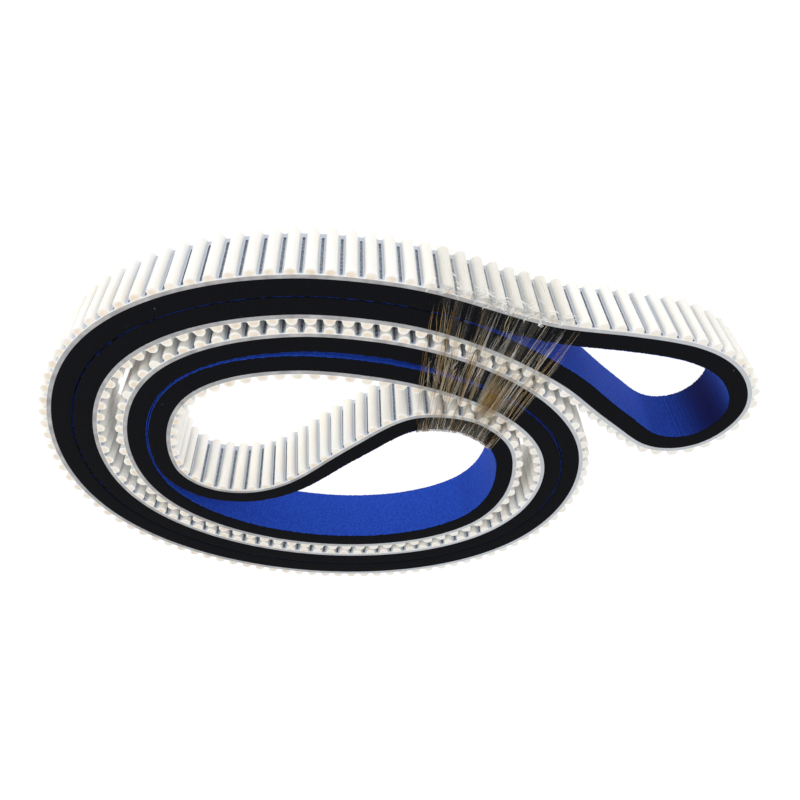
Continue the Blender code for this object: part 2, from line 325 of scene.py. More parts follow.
    def place(self, along: Array, offset: Array, height: Array) -> Array:
        """Places in space.

        Args:
            along: distances round the line, millimetres.
            offset: distances off it, towards the teeth.
            height: distances across the belt's width, from its lower edge.

        Returns:
            One row of three coordinates in metres for each place.
        """
        lean = self.look_up(self.leans, along)
        lift = self.look_up(self.lifts, along)
        level = offset * np.cos(lean) + (self.section.width - height) * np.sin(lean)
        rise = lift + (offset + self.section.belt_back) * np.sin(lean) + height * np.cos(lean)
        return np.column_stack([self.plan(along, level), rise]) * MM


# ------------------------------------------------------------------------------ shaping helpers


def ripple(values: Array, seed: Seed, shortest: float, longest: float, period: float) -> Array:
    """Smooth irregular signal that repeats after one period.

    Args:
        values: places at which it is wanted, millimetres.
        seed: what the draw is for.
        shortest: shortest wave in it.
        longest: longest wave in it.
        period: length after which it repeats.

    Returns:
        The signal, about -1 to 1.
    """
    draw = np.random.default_rng(seed.value)
    count = 14
    waves = draw.integers(max(1, round(period / longest)), round(period / shortest) + 1, count)
    phases = draw.uniform(0, 2 * math.pi, count)
    total = np.zeros_like(values, dtype=float)
    for wave, phase in zip(waves, phases):
        total += np.sin(2 * math.pi * wave * values / period + phase)
    return total / math.sqrt(2 * count)


def start_piece(name: str) -> Piece:
    """Take the primitive just added, bake its size and place into its mesh, and name it."""
    piece = bpy.context.active_object
    bpy.ops.object.transform_apply(location=True, rotation=True, scale=True)
    piece.name = name
    piece.data.name = name
    return piece


def clear_selection() -> None:
    """Deselect every object, so that an operator acts only on the piece in hand."""
    if bpy.context.mode != "OBJECT":
        bpy.ops.object.mode_set(mode="OBJECT")
    bpy.ops.object.select_all(action="DESELECT")


def select_only(piece: Piece) -> None:
    """Make the piece the only selected one and the active one."""
    clear_selection()
    piece.select_set(True)
    bpy.context.view_layer.objects.active = piece


def open_piece(piece: Piece) -> None:
    """Make the piece the only selected one and open it in edit mode."""
    select_only(piece)
    bpy.ops.object.mode_set(mode="EDIT")


def weld(piece: Piece, threshold: float) -> None:
    """Join the piece's doubled vertices and turn its faces outwards."""
    open_piece(piece)
    bpy.ops.mesh.select_all(action="SELECT")
    bpy.ops.mesh.remove_doubles(threshold=threshold)
    bpy.ops.mesh.normals_make_consistent(inside=False)
    bpy.ops.object.mode_set(mode="OBJECT")


def pick(piece: Piece, kind: str, test: Callable[[Vector], bool]) -> int:
    """Select only the faces or edges of the open piece whose middle passes a test.

    Args:
        piece: the piece, open in edit mode.
        kind: FACE or EDGE.
        test: says whether an item is wanted, from its middle in millimetres.

    Returns:
        How many were selected.
    """
    bpy.ops.mesh.select_mode(type=kind)
    bpy.ops.mesh.select_all(action="DESELECT")
    shape = bmesh.from_edit_mesh(piece.data)
    items = shape.faces if kind == "FACE" else shape.edges
    found = 0
    for item in items:
        corners = [corner.co for corner in item.verts]
        if test(sum(corners, Vector()) / len(corners) / MM):
            item.select_set(True)
            found += 1
    bmesh.update_edit_mesh(piece.data)
    return found


def cut_across(piece: Piece, axis: int, places: Array, test: Callable[[Vector], bool]) -> None:
    """Cut the faces that pass a test with flat planes square to one axis.

    Args:
        piece: the piece, open in edit mode.
        axis: 0, 1 or 2.
        places: where the planes stand along that axis, millimetres.
        test: says whether a face is cut, from its middle.
    """
    normal = [0.0, 0.0, 0.0]
    normal[axis] = 1.0
    for place in places:
        pick(piece, "FACE", test)
        spot = [value * place * MM for value in normal]
        bpy.ops.mesh.bisect(plane_co=spot, plane_no=normal, threshold=1e-7)


def everywhere(_: Vector) -> bool:
    """The test that every face passes."""
    return True


def straight_bar(name: str, section: Section, low: float, high: float, inset: float) -> Piece:
    """One pitch of a flat layer, open at both ends, still straight and lying in edit mode.

    Args:
        name: name of the piece.
        section: the belt's section.
        low: lower distance from the cord line.
        high: upper distance from it.
        inset: how far the layer stays inside the belt's side edges.

    Returns:
        The piece, open in edit mode.
    """
    clear_selection()
    middle = (section.pitch / 2 * MM, section.width / 2 * MM, (low + high) / 2 * MM)
    size = (section.pitch * MM, (section.width - 2 * inset) * MM, (high - low) * MM)
    bpy.ops.mesh.primitive_cube_add(size=1, location=middle, scale=size)
    piece = start_piece(name)
    open_piece(piece)
    pick(piece, "FACE", section.at_end)
    bpy.ops.mesh.delete(type="ONLY_FACE")
    return piece


def wind(piece: Piece, course: Course, shape: Callable | None = None) -> Piece:
    """Repeat one straight pitch for every tooth and wind it round the course, closed on itself.

    Args:
        piece: one pitch long, along X, with the width along Y and the distance off the cord
            line along Z.
        course: the pitch line.
        shape: changes the distances along, off the line and across the width before winding.

    Returns:
        The same piece, in place, with its belt coordinates kept for its finish.
    """
    select_only(piece)
    row = piece.modifiers.new("teeth", "ARRAY")
    row.count = course.teeth
    row.use_relative_offset = False
    row.use_constant_offset = True
    row.constant_offset_displace = (course.section.pitch * MM, 0.0, 0.0)
    row.use_merge_vertices = True
    row.merge_threshold = 1e-6
    bpy.ops.object.modifier_apply(modifier=row.name)
    mesh = piece.data
    flat = read_vertices(mesh) / MM
    along = flat[:, 0] * course.pitch / course.section.pitch + course.phase
    height, offset = flat[:, 1].copy(), flat[:, 2].copy()
    keep_coordinates(mesh, along, height, offset)
    if shape:
        along, offset, height = shape(along, offset, height)
    mesh.vertices.foreach_set("co", course.place(along, offset, height).ravel())
    weld(piece, 5e-6)
    return piece


def read_vertices(mesh: bpy.types.Mesh) -> Array:
    """The mesh's vertices as rows of three coordinates, metres."""
    flat = np.zeros(len(mesh.vertices) * 3)
    mesh.vertices.foreach_get("co", flat)
    return flat.reshape(-1, 3)


def read_corners(mesh: bpy.types.Mesh) -> Array:
    """The number of the vertex at each corner of the mesh's faces."""
    corners = np.zeros(len(mesh.loops), dtype=np.int32)
    mesh.loops.foreach_get("vertex_index", corners)
    return corners


def keep(mesh: bpy.types.Mesh, **tables: Array) -> None:
    """Store one number for each vertex under each name, for a finish to read."""
    for name, values in tables.items():
        layer = mesh.attributes.new(name, "FLOAT", "POINT")
        layer.data.foreach_set("value", values.astype(np.float32))


def keep_map(mesh: bpy.types.Mesh, name: str, spots: Array) -> None:
    """Give the mesh one UV map, from two coordinates in millimetres for each vertex."""
    for old in list(mesh.uv_layers):
        mesh.uv_layers.remove(old)
    layer = mesh.uv_layers.new(name=name)
    layer.data.foreach_set("uv", spots[read_corners(mesh)].ravel())


def keep_coordinates(mesh: bpy.types.Mesh, along: Array, height: Array, offset: Array) -> None:
    """Store belt coordinates in millimetres: a UV map on the belt, and height and offset."""
    keep_map(mesh, "belt", np.column_stack([along, height]))
    keep(mesh, height=height, offset=offset)


def smooth(piece: Piece, angle: float = 35.0) -> None:
    """Shade the piece smooth, apart from edges sharper than an angle in degrees."""
    select_only(piece)
    bpy.ops.object.shade_smooth_by_angle(angle=math.radians(angle))


def read_unit(piece: Piece) -> tuple[Array, list[tuple[int, ...]]]:
    """Take the vertices, in metres, and faces of a small model and remove it."""
    mesh = piece.data
    verts = read_vertices(mesh)
    faces = [tuple(face.vertices) for face in mesh.polygons]
    bpy.data.objects.remove(piece)
    bpy.data.meshes.remove(mesh)
    return verts, faces


def mesh_of_copies(name: str, copies: Array, faces: list[tuple[int, ...]],
                   tints: Array | None = None) -> Piece:
    """One piece made of many copies of a small model, each already in its place.

    Args:
        name: name of the piece.
        copies: vertices of every copy, metres: copies by vertices by three.
        faces: faces of one copy.
        tints: one number for each copy, kept for its finish.

    Returns:
        The piece.
    """
    count, size = copies.shape[:2]
    every = [tuple(k * size + n for n in face) for k in range(count) for face in faces]
    mesh = bpy.data.meshes.new(name)
    mesh.from_pydata(copies.reshape(-1, 3).tolist(), [], every)
    if tints is not None:
        keep(mesh, tint=np.repeat(tints, size))
    piece = bpy.data.objects.new(name, mesh)
    bpy.context.scene.collection.objects.link(piece)
    return piece


# --------------------------------------------------------------------------------- finishes


def linear(code: str) -> tuple[float, float, float, float]:
    """Linear colour of an sRGB hex code."""
    parts = [int(code[i:i + 2], 16) / 255 for i in (1, 3, 5)]
    lit = [p / 12.92 if p <= 0.04045 else ((p + 0.055) / 1.055) ** 2.4 for p in parts]
    return (*lit, 1.0)


def fill(node: bpy.types.Node, inputs: dict) -> None:
    """Set or link a node's inputs, by name or number.

    Args:
        node: the node.
        inputs: a hex code or plain value, the socket to link from, or a node, which stands for
            its first output in use.
    """
    for key, value in inputs.items():
        if isinstance(value, bpy.types.Node):
            value = next(socket for socket in value.outputs if socket.enabled)
        if isinstance(value, bpy.types.NodeSocket):
            node.id_data.links.new(value, node.inputs[key])
        else:
            node.inputs[key].default_value = linear(value) if isinstance(value, str) else value


def add_node(tree: bpy.types.NodeTree, kind: str, inputs: dict | None = None,
             stops: tuple = (), **settings: object) -> bpy.types.Node:
    """Add a node with its settings, values and links.

    Args:
        tree: the material's node tree.
        kind: the node's type name, without the words that every type shares.
        inputs: what goes into its inputs.
        stops: places and hex codes of a colour ramp.
        settings: the node's own properties.

    Returns:
        The node.
    """
    node = tree.nodes.new("ShaderNode" + kind)
    for key, value in settings.items():
        setattr(node, key, value)
    for number, (place, colour) in enumerate(stops):
        elements = node.color_ramp.elements
        element = elements.new(place) if number else elements[0]
        element.position, element.color = place, linear(colour)
    if stops:
        node.color_ramp.elements.remove(node.color_ramp.elements[-1])
    fill(node, inputs or {})
    return node


def new_material(name: str) -> tuple[bpy.types.Material, Callable, bpy.types.Node]:
    """A new material, the function that adds nodes to it, and its shader."""
    material = bpy.data.materials.new(name)
    material.use_nodes = True
    tree = material.node_tree
    return material, partial(add_node, tree), tree.nodes["Principled BSDF"]


@dataclass(frozen=True)
class CastPolyurethane:
    """Cast thermoplastic polyurethane, white in the mould, cut to width with a blade.

    It gives the eye smooth, bright, faintly warm teeth. The cut ends of the teeth have a soft
    ivory heart, the cut web is a dull translucent grey, the tooth flanks and root land are painted
    a bluish grey shade that deepens into the groove between teeth, and the narrow slot between two
    teeth is bluish grey partly because the steel cords lie right under it and partly as painted
    shade of the narrow recess.
    """

    course: Course
    face: str = "#F4F3EF"
    face_warm: str = "#F1EDE4"
    # painted shade: the bluish grey of the groove between teeth, on the flank and root land
    root: str = "#C9D0DC"
    # the slot's colour: the cords under it, and painted shade of the narrow recess
    slot: str = "#6C7481"
    slot_cord_shade_pale: str = "#A4ACB8"
    tooth_end: str = "#E3D2BA"
    tooth_end_pale: str = "#F0EADF"
    heart: tuple[float, float, float] = (3.1, 1.7, 1.9)
    web_edge: str = "#8F8E90"
    web_edge_pale: str = "#BDBCBB"
    web_edge_far_side: str = "#C9CDD3"
    yellow_side_towards: tuple[float, float, float] = (1.0, -0.8, 0.0)
    yellow_side_from: float = -0.10
    yellow_side_to: float = 0.06
    dust: str = "#37373A"
    roughness: float = 0.38

    def material(self) -> bpy.types.Material:
        """Build the material, coloured by height across the belt and offset from the cords."""
        made, add, shader = new_material("cast_polyurethane")
        place = add("TexCoord").outputs["Object"]
        height = add("Attribute", attribute_name="height").outputs["Fac"]
        offset = add("Attribute", attribute_name="offset").outputs["Fac"]
        # the mould's flow leaves cloudy patches about 25 mm wide
        cloud = add("TexNoise", {"Vector": place, "Scale": 1 / 0.025, "Detail": 3.0})
        face = add("ValToRGB", {"Fac": cloud}, ((0.35, self.face), (0.70, self.face_warm)))
        # the root land lies 0.69 mm above the cords, and the tooth flank rises from it; both are
        # painted a bluish grey shade that deepens towards the root, the shade of the groove
        # between teeth
        low = add("MapRange", {"Value": offset, "From Min": 2.10, "From Max": 0.66},
                  interpolation_type="SMOOTHSTEP")
        shaded = add("Mix", {0: low, 6: face, 7: self.root}, data_type="RGBA")
        # cords show through the slot as a row of soft dots; drawn 1.2 mm apart so that they show.
        # The slot's dark bluish grey is also painted shade of the narrow recess
        belt = add("UVMap", uv_map="belt")
        dots = add("TexNoise", {"Vector": belt, "Scale": 1 / 1.2, "Detail": 1.0})
        through = add("ValToRGB", {"Fac": dots}, ((0.38, self.slot), (0.62, self.slot_cord_shade_pale)))
        deep = add("MapRange", {"Value": offset, "From Min": 0.66, "From Max": 0.30})
        moulded = add("Mix", {0: deep, 6: shaded, 7: through}, data_type="RGBA")
        # cut side edges: grey web and ivory tooth ends, clouded every few millimetres
        patch = add("TexNoise", {"Vector": place, "Scale": 1 / 0.006, "Detail": 4.0})
        web = add("ValToRGB", {"Fac": patch}, ((0.30, self.web_edge), (0.72, self.web_edge_pale)))
        end = add("ValToRGB", {"Fac": patch},
                  ((0.35, self.tooth_end), (0.65, self.tooth_end_pale)))
        # the ivory heart is an oval round each tooth's middle, and fades into white all round
        axes = add("SeparateXYZ", {0: belt})
        first = add("Math", {0: axes, 1: self.course.phase}, operation="SUBTRACT")
        aside = add("Math", {0: first, 1: self.course.pitch / 2}, operation="PINGPONG")
        wide, above, tall = self.heart
        across = add("Math", {0: aside, 1: wide}, operation="DIVIDE")
        level = add("Math", {0: offset, 1: above}, operation="SUBTRACT")
        level = add("Math", {0: level, 1: tall}, operation="DIVIDE")
        oval = add("CombineXYZ", {0: across, 1: level})
        reach = add("VectorMath", {0: oval}, operation="LENGTH")
        inside = add("MapRange", {"Value": reach, "From Min": 1.0, "From Max": 0.35},
                     interpolation_type="SMOOTHSTEP")
        # towards one side of the coil the tooth ends' ivory heart is stronger and the cut web
        # darker
        turned = add("VectorMath", {0: place, 1: self.yellow_side_towards}, operation="DOT_PRODUCT")
        yellow_side = add("MapRange", {"Value": turned, "From Min": self.yellow_side_from,
                                "From Max": self.yellow_side_to, "To Min": 0.25})
        ivory_share = add("Math", {0: inside, 1: yellow_side}, operation="MULTIPLY")
        heart = add("Mix", {0: ivory_share, 6: face, 7: end}, data_type="RGBA")
        dull = add("Mix", {0: yellow_side, 6: self.web_edge_far_side, 7: web}, data_type="RGBA")
        rise = add("MapRange", {"Value": offset, "From Min": 0.25, "From Max": 0.62},
                   interpolation_type="SMOOTHSTEP")
        cut = add("Mix", {0: rise, 6: dull, 7: heart}, data_type="RGBA")
        # black sponge dust is dragged on to the cut web here and there
        drag = add("TexNoise",
                   {"Vector": place, "Scale": 1 / 0.018, "Detail": 6.0, "Roughness": 0.7})
        near = add("MapRange", {"Value": offset, "From Min": 0.4, "From Max": -1.5,
                                "To Min": 0.6, "To Max": 1.0})
        both = add("Math", {0: drag, 1: near}, operation="MULTIPLY")
        dust = add("MapRange", {"Value": both, "From Min": 0.60, "From Max": 0.70, "To Max": 0.8})
        dirty = add("Mix", {0: dust, 6: cut, 7: self.dust}, data_type="RGBA")
        # both side edges are found by their distance from the belt's middle line
        half = self.course.section.width / 2
        away = add("Math", {0: height, 1: half}, operation="SUBTRACT")
        away = add("Math", {0: away}, operation="ABSOLUTE")
        edge = add("MapRange", {"Value": away, "From Min": half - 0.12, "From Max": half - 0.03})
        whole = add("Mix", {0: edge, 6: moulded, 7: dirty}, data_type="RGBA")
        # a blade leaves fine marks; drawn at 0.6 mm so that they can be seen
        marks = add("TexNoise", {"Vector": place, "Scale": 1 / 0.0006, "Detail": 2.0})
        bump = add("Bump", {"Height": marks, "Strength": 0.12, "Distance": 0.0002})
        fill(shader, {"Base Color": whole, "Normal": bump})
        shader.inputs["Roughness"].default_value = self.roughness
        shader.inputs["IOR"].default_value = 1.50
        shader.inputs["Subsurface Weight"].default_value = 0.10
        shader.inputs["Subsurface Scale"].default_value = 0.0015
        return made


@dataclass(frozen=True)
class GalvanisedStrand:
    """Galvanised steel strand, laid up from fine wires.

    It gives the eye small bluish grey glints with a slanting twist, seen only in the slots. The
    grooves between its wires are painted darker, as their shade.
    """

    wire: str = "#A3A9B2"
    groove_shade: str = "#4B4F57"
    lay_length: float = 1.2
    roughness: float = 0.35

    def material(self) -> bpy.types.Material:
        """Build the material, with the twist running slantwise across the belt's UV map."""
        made, add, shader = new_material("galvanised_strand")
        twist = add("Mapping", {"Vector": add("UVMap", uv_map="belt"),
                                "Scale": (1 / self.lay_length, 2.0, 1.0)})
        lines = add("TexWave", {"Vector": twist, "Scale": 0.5}, bands_direction="DIAGONAL")
        # the grooves between wires are painted dark grey: painted shade
        shade = add("ValToRGB", {"Fac": lines.outputs["Fac"]},
                    ((0.15, self.groove_shade), (0.55, self.wire)))
        bump = add("Bump", {"Height": lines.outputs["Fac"], "Strength": 0.6, "Distance": 0.0001})
        fill(shader, {"Base Color": shade, "Normal": bump})
        shader.inputs["Metallic"].default_value = 1.0
        shader.inputs["Roughness"].default_value = self.roughness
        return made


@dataclass(frozen=True)
class SpongeRubber:
    """Black sponge rubber, sliced to thickness and cut to width with the belt.

    It gives the eye a dull, nearly black face of fine cells, each pore painted a little darker as
    its shade, with a few pale specks of dust.
    """

    wall: str = "#0B0C11"
    pore_shade: str = "#040406"
    speck: str = "#77746E"
    cell_size: float = 0.0007
    speck_spacing: float = 0.007

    def material(self) -> bpy.types.Material:
        """Build the material. Real cells are 0.3 mm wide; they are drawn at 0.7 mm to show."""
        made, add, shader = new_material("sponge_rubber")
        place = add("TexCoord").outputs["Object"]
        cells = add("TexVoronoi", {"Vector": place, "Scale": 1 / self.cell_size})
        # the middle of each cell is painted darker: painted shade inside the pore
        grain = add("ValToRGB", {"Fac": cells}, ((0.10, self.pore_shade), (0.55, self.wall)))
        dots = add("TexVoronoi", {"Vector": place, "Scale": 1 / self.speck_spacing})
        dot = add("MapRange", {"Value": dots, "From Min": 0.045, "From Max": 0.025})
        chance = add("MapRange", {"Value": dots.outputs["Color"], "From Min": 0.50,
                                  "From Max": 0.60, "To Max": 0.8})
        shown = add("Math", {0: dot, 1: chance}, operation="MULTIPLY")
        colour = add("Mix", {0: shown, 6: grain, 7: self.speck}, data_type="RGBA")
        bump = add("Bump", {"Height": cells, "Strength": 0.5, "Distance": 0.0003})
        fill(shader, {"Base Color": colour, "Normal": bump})
        shader.inputs["Roughness"].default_value = 0.92
        shader.inputs["Specular IOR Level"].default_value = 0.12
        return made


@dataclass(frozen=True)
class KnitNylon:
    """Knitted nylon facing, dyed royal blue, glued on under tension.

    It gives the eye a soft, even blue with a fine grain of loops; the gaps between loops are
    painted a darker blue as their shade. Where the belt bends tightly the facing puckers; the two
    tight loops and the puckers' folds are painted navy as their shade.
    """

    thread: str = "#1F4AB2"
    # painted shade in the gaps between loops
    gap: str = "#112C90"
    # painted navy shade of the tight loops and the puckers' folds
    pucker_shade: str = "#020740"
    sheen: str = "#5F7FE8"
    loop_size: float = 0.8

    def material(self) -> bpy.types.Material:
        """Build the material. Real loops are 0.4 mm wide; they are drawn at 0.8 mm to show."""
        made, add, shader = new_material("knit_nylon")
        belt = add("UVMap", uv_map="belt")
        loops = add("TexVoronoi",
                    {"Vector": belt, "Scale": 1 / self.loop_size, "Randomness": 0.7})
        grain = add("TexNoise", {"Vector": belt, "Scale": 0.9, "Detail": 6.0, "Roughness": 0.75})
        joined = add("Math", {0: loops, 1: grain}, operation="MULTIPLY")
        # the gaps between loops get the darker blue: painted shade
        blue = add("ValToRGB", {"Fac": joined}, ((0.08, self.gap), (0.32, self.thread)))
        # painted shade stored on the facing: navy in the tight loops, darker in the puckers' folds
        # and along the hidden cut edge
        crush = add("Attribute", attribute_name="crush").outputs["Fac"]
        dark = add("Mix", {0: crush, 6: blue, 7: self.pucker_shade}, data_type="RGBA")
        bump = add("Bump", {"Height": joined, "Strength": 0.5, "Distance": 0.0003})
        fill(shader, {"Base Color": dark, "Normal": bump})
        shader.inputs["Roughness"].default_value = 0.85
        shader.inputs["Specular IOR Level"].default_value = 0.18
        shader.inputs["Sheen Weight"].default_value = 0.12
        shader.inputs["Sheen Roughness"].default_value = 0.45
        shader.inputs["Sheen Tint"].default_value = linear(self.sheen)
        return made


@dataclass(frozen=True)
class StretchFilm:
    """Clear polyethylene stretch film, pulled tight and layered.

    It gives the eye a thin haze with fine lines along the pull, and sharp glints.
    """

    haze: str = "#DAD8C9"
    stain: str = "#86652F"
    thin: float = 0.0
    thick: float = 0.34

    def material(self) -> bpy.types.Material:
        """Build the material on the film's own UV map: U across its width, V round the wrap."""
        made, add, shader = new_material("stretch_film")
        # U and V are in millimetres, and the lines are thirty times as long as they are wide
        pulled = add("Mapping", {"Vector": add("UVMap", uv_map="wrap"),
                                 "Scale": (1.0, 0.03, 1.0)})
        lines = add("TexNoise",
                    {"Vector": pulled, "Scale": 0.9, "Detail": 7.0, "Roughness": 0.75})
        shown = add("Attribute", attribute_name="cover").outputs["Fac"]
        alpha = add("MapRange", {"Value": lines, "From Min": 0.54, "From Max": 0.74,
                                 "To Min": self.thin, "To Max": self.thick})
        extra = add("Math", {0: alpha, 1: shown}, operation="ADD", use_clamp=True)
        tone = add("Attribute", attribute_name="stain").outputs["Fac"]
        colour = add("Mix", {0: tone, 6: self.haze, 7: self.stain}, data_type="RGBA")
        bump = add("Bump", {"Height": lines, "Strength": 0.7, "Distance": 0.0006})
        fill(shader, {"Base Color": colour, "Alpha": extra, "Normal": bump})
        shader.inputs["Roughness"].default_value = 0.14
        shader.inputs["IOR"].default_value = 1.49
        return made


@dataclass(frozen=True)
class FilmCrease:
    """The same film where it is bunched into strings: several layers thick.

    Bunched film looks golden brown or pale straw, from one string to the next. White strings are
    painted glints on crinkled film, and the nearly black ones painted shade in crushed film.
    """

    roughness: float = 0.30
    alpha: float = 0.85
    # the white end stands for painted glints and the nearly black end for painted shade in crushed
    # film
    tones: tuple[tuple[float, str], ...] = (
        (0.0, "#2C2417"), (0.16, "#7D5B26"), (0.34, "#B5924F"), (0.54, "#D3C3A4"),
        (0.75, "#AFACA4"), (0.90, "#F1EFE9"), (1.0, "#FFFFFF"),
    )

    def material(self) -> bpy.types.Material:
        """Build the material, whose colour follows each string's own tint."""
        made, add, shader = new_material("film_crease")
        tint = add("Attribute", attribute_name="tint").outputs["Fac"]
        drift = add("TexNoise", {"Vector": add("TexCoord").outputs["Object"],
                                 "Scale": 1 / 0.008, "Detail": 2.0})
        moved = add("MapRange", {"Value": drift, "To Min": -0.14, "To Max": 0.14})
        value = add("Math", {0: tint, 1: moved}, operation="ADD", use_clamp=True)
        fill(shader, {"Base Color": add("ValToRGB", {"Fac": value}, self.tones)})
        shader.inputs["Alpha"].default_value = self.alpha
        shader.inputs["Roughness"].default_value = self.roughness
        shader.inputs["IOR"].default_value = 1.49
        return made


def dress(piece: Piece, material: bpy.types.Material, slot: str, *nodes: str) -> Piece:
    """Give the piece its finish, let it ride on the belt, and say which CAD nodes it stands for.

    Args:
        piece: a finished piece.
        material: its finish.
        slot: a name for the piece's material slot; not used.
        nodes: names of the CAD nodes that it replaces.

    Returns:
        The same piece.
    """
    piece.data.materials.clear()
    piece.data.materials.append(material)
    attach(piece, "root")
    if nodes:
        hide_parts(*nodes)
    faces = len(piece.data.polygons)
    LOG.info("%s: %d faces, stands for %s", piece.name, faces, ", ".join(nodes) or "nothing")
    return piece


# ------------------------------------------------------------------------------ sub-assemblies


@dataclass
class MouldedBody:
    """The cast body of the belt: rounded teeth on a thin web, and the layer behind the cords."""

    course: Course
    flank_steps: int = 5
    fillet_steps: int = 2
    rim_bevel: float = 0.15
    slot_ends: tuple[float, float] = (3.0, 29.1)
    slot_inset: float = 0.04
    slot_floor: float = 0.06
    joint_gap: float = 0.01
    back_bevel: float = 0.12

    def model_tooth(self) -> Piece:
        """Model one pitch of the toothed web, from one tooth's middle to the next.

        Returns:
            The piece, straight, open at both ends.
        """
        size = self.course.section
        fillet = size.root_fillet
        radius = size.tooth_tip - size.tooth_root - fillet
        land = size.pitch / 2 - radius - fillet
        middle = size.pitch / 2
        clear_selection()
        bpy.ops.mesh.primitive_plane_add(size=1)
        plane = bpy.context.active_object
        plane.scale = (land * MM, size.width * MM, 1.0)
        plane.location = ((middle + land / 2) * MM, size.width / 2 * MM, size.tooth_root * MM)
        piece = start_piece("toothed_body")
        open_piece(piece)
        turns = (
            (middle + land, size.tooth_root, middle + land, 90.0, self.fillet_steps),
            (middle + land + fillet, size.tooth_root + fillet, size.pitch, -90.0,
             self.flank_steps),
        )
        for edge_x, edge_z, centre_x, angle, steps in turns:
            pick(piece, "EDGE", lambda spot, x=edge_x, z=edge_z:
                 abs(spot.x - x) < CLOSE and abs(spot.z - z) < CLOSE)
            centre = (centre_x * MM, 0.0, (size.tooth_root + fillet) * MM)
            bpy.ops.mesh.spin(steps=steps, angle=math.radians(angle), center=centre,
                              axis=(0.0, 1.0, 0.0))
        bpy.ops.mesh.select_all(action="SELECT")
        bpy.ops.mesh.duplicate()
        bpy.ops.transform.resize(value=(-1, 1, 1), center_override=(middle * MM, 0.0, 0.0))
        bpy.ops.mesh.select_all(action="SELECT")
        bpy.ops.mesh.remove_doubles(threshold=1e-6)
        bpy.ops.mesh.extrude_region_move(
            TRANSFORM_OT_translate={"value": (0.0, 0.0, -size.tooth_root * MM)})
        bpy.ops.transform.resize(value=(1, 1, 0), center_override=(0.0, 0.0, 0.0))
        self.trim_tooth(piece, land)
        return piece

    def trim_tooth(self, piece: Piece, land: float) -> None:
        """Open the ends of the pitch, simplify its underside, cut the slot and bevel the rims.

        Args:
            piece: the pitch, open in edit mode.
            land: half the length of the flat between two teeth.
        """
        size = self.course.section
        middle, half = size.pitch / 2, size.width / 2
        pick(piece, "FACE", size.at_end)
        bpy.ops.mesh.delete(type="ONLY_FACE")
        for edge in (0.0, size.width):
            pick(piece, "FACE", lambda spot, y=edge: abs(spot.y - y) < CLOSE)
            bpy.ops.mesh.dissolve_faces()
        for test in (lambda spot: abs(spot.z) < CLOSE and not size.at_end(spot),
                     lambda spot: abs(spot.x - middle) < CLOSE and spot.z > CLOSE):
            pick(piece, "EDGE", lambda spot, t=test: t(spot) and abs(spot.y - half) < 1.0)
            bpy.ops.mesh.dissolve_edges(use_verts=True)
        cut_across(piece, 0, size.bends_at, lambda spot: abs(spot.z) < CLOSE
                   and abs(spot.y - half) < 1.0)

        def on_land(spot: Vector) -> bool:
            """Whether a face lies on the flat between two teeth."""
            return abs(spot.z - size.tooth_root) < CLOSE and abs(spot.x - middle) < land / 2

        cut_across(piece, 1, self.slot_ends, on_land)
        pick(piece, "FACE", lambda spot: on_land(spot) and abs(spot.y - half) < 2.0)
        bpy.ops.mesh.inset(thickness=self.slot_inset * MM, depth=0.0)
        depth = (self.slot_floor - size.tooth_root) * MM
        bpy.ops.mesh.extrude_region_move(TRANSFORM_OT_translate={"value": (0.0, 0.0, depth)})
        bpy.ops.mesh.select_all(action="SELECT")
        bpy.ops.mesh.normals_make_consistent(inside=False)
        pick(piece, "EDGE", lambda spot: size.at_side(spot)
             and spot.z > size.tooth_root - CLOSE and not size.at_end(spot))
        bpy.ops.mesh.bevel(offset=self.rim_bevel * MM, segments=1, affect="EDGES")

    def model_back(self) -> Piece:
        """Model one pitch of the layer behind the cords, cut at the same places."""
        size = self.course.section
        piece = straight_bar("back_layer", size, -size.body_back, -self.joint_gap, 0.0)
        cut_across(piece, 0, size.bends_at, everywhere)
        pick(piece, "EDGE", lambda spot: spot.z < CLOSE - size.body_back and size.at_side(spot))
        bpy.ops.mesh.bevel(offset=self.back_bevel * MM, segments=1, affect="EDGES")
        return piece

    def build(self) -> None:
        """Model, wind and dress both layers."""
        material = CastPolyurethane(self.course).material()
        teeth = wind(self.model_tooth(), self.course)
        smooth(teeth)
        dress(teeth, material, "polyurethane_teeth", "polyurethane_tooth_layer")
        back = wind(self.model_back(), self.course)
        smooth(back)
        dress(back, material, "polyurethane_back", "polyurethane_back_layer")


@dataclass
class TensionCords:
    """Steel cords side by side in the cord plane, each closed round the belt."""

    course: Course
    count: int = 10
    margin: float = 2.0
    radius: float = 0.28
    sides: int = 8

    def build(self) -> None:
        """Model one pitch of each cord, wind it and dress it."""
        material = GalvanisedStrand().material()
        size = self.course.section
        spacing = (size.width - 2 * self.margin) / (self.count - 1)
        for number in range(self.count):
            height = self.margin + number * spacing
            clear_selection()
            bpy.ops.mesh.primitive_cylinder_add(
                vertices=self.sides, radius=self.radius * MM, depth=size.pitch * MM,
                end_fill_type="NOTHING", location=(size.pitch / 2 * MM, height * MM, 0.0),
                rotation=(0.0, math.pi / 2, 0.0))
            piece = start_piece(f"strand_{number + 1:02d}")
            open_piece(piece)
            cut_across(piece, 0, size.bends_at, everywhere)
            wind(piece, self.course)
            smooth(piece, 80.0)
            dress(piece, material, "steel_cord", f"steel_cord_{number + 1:02d}")


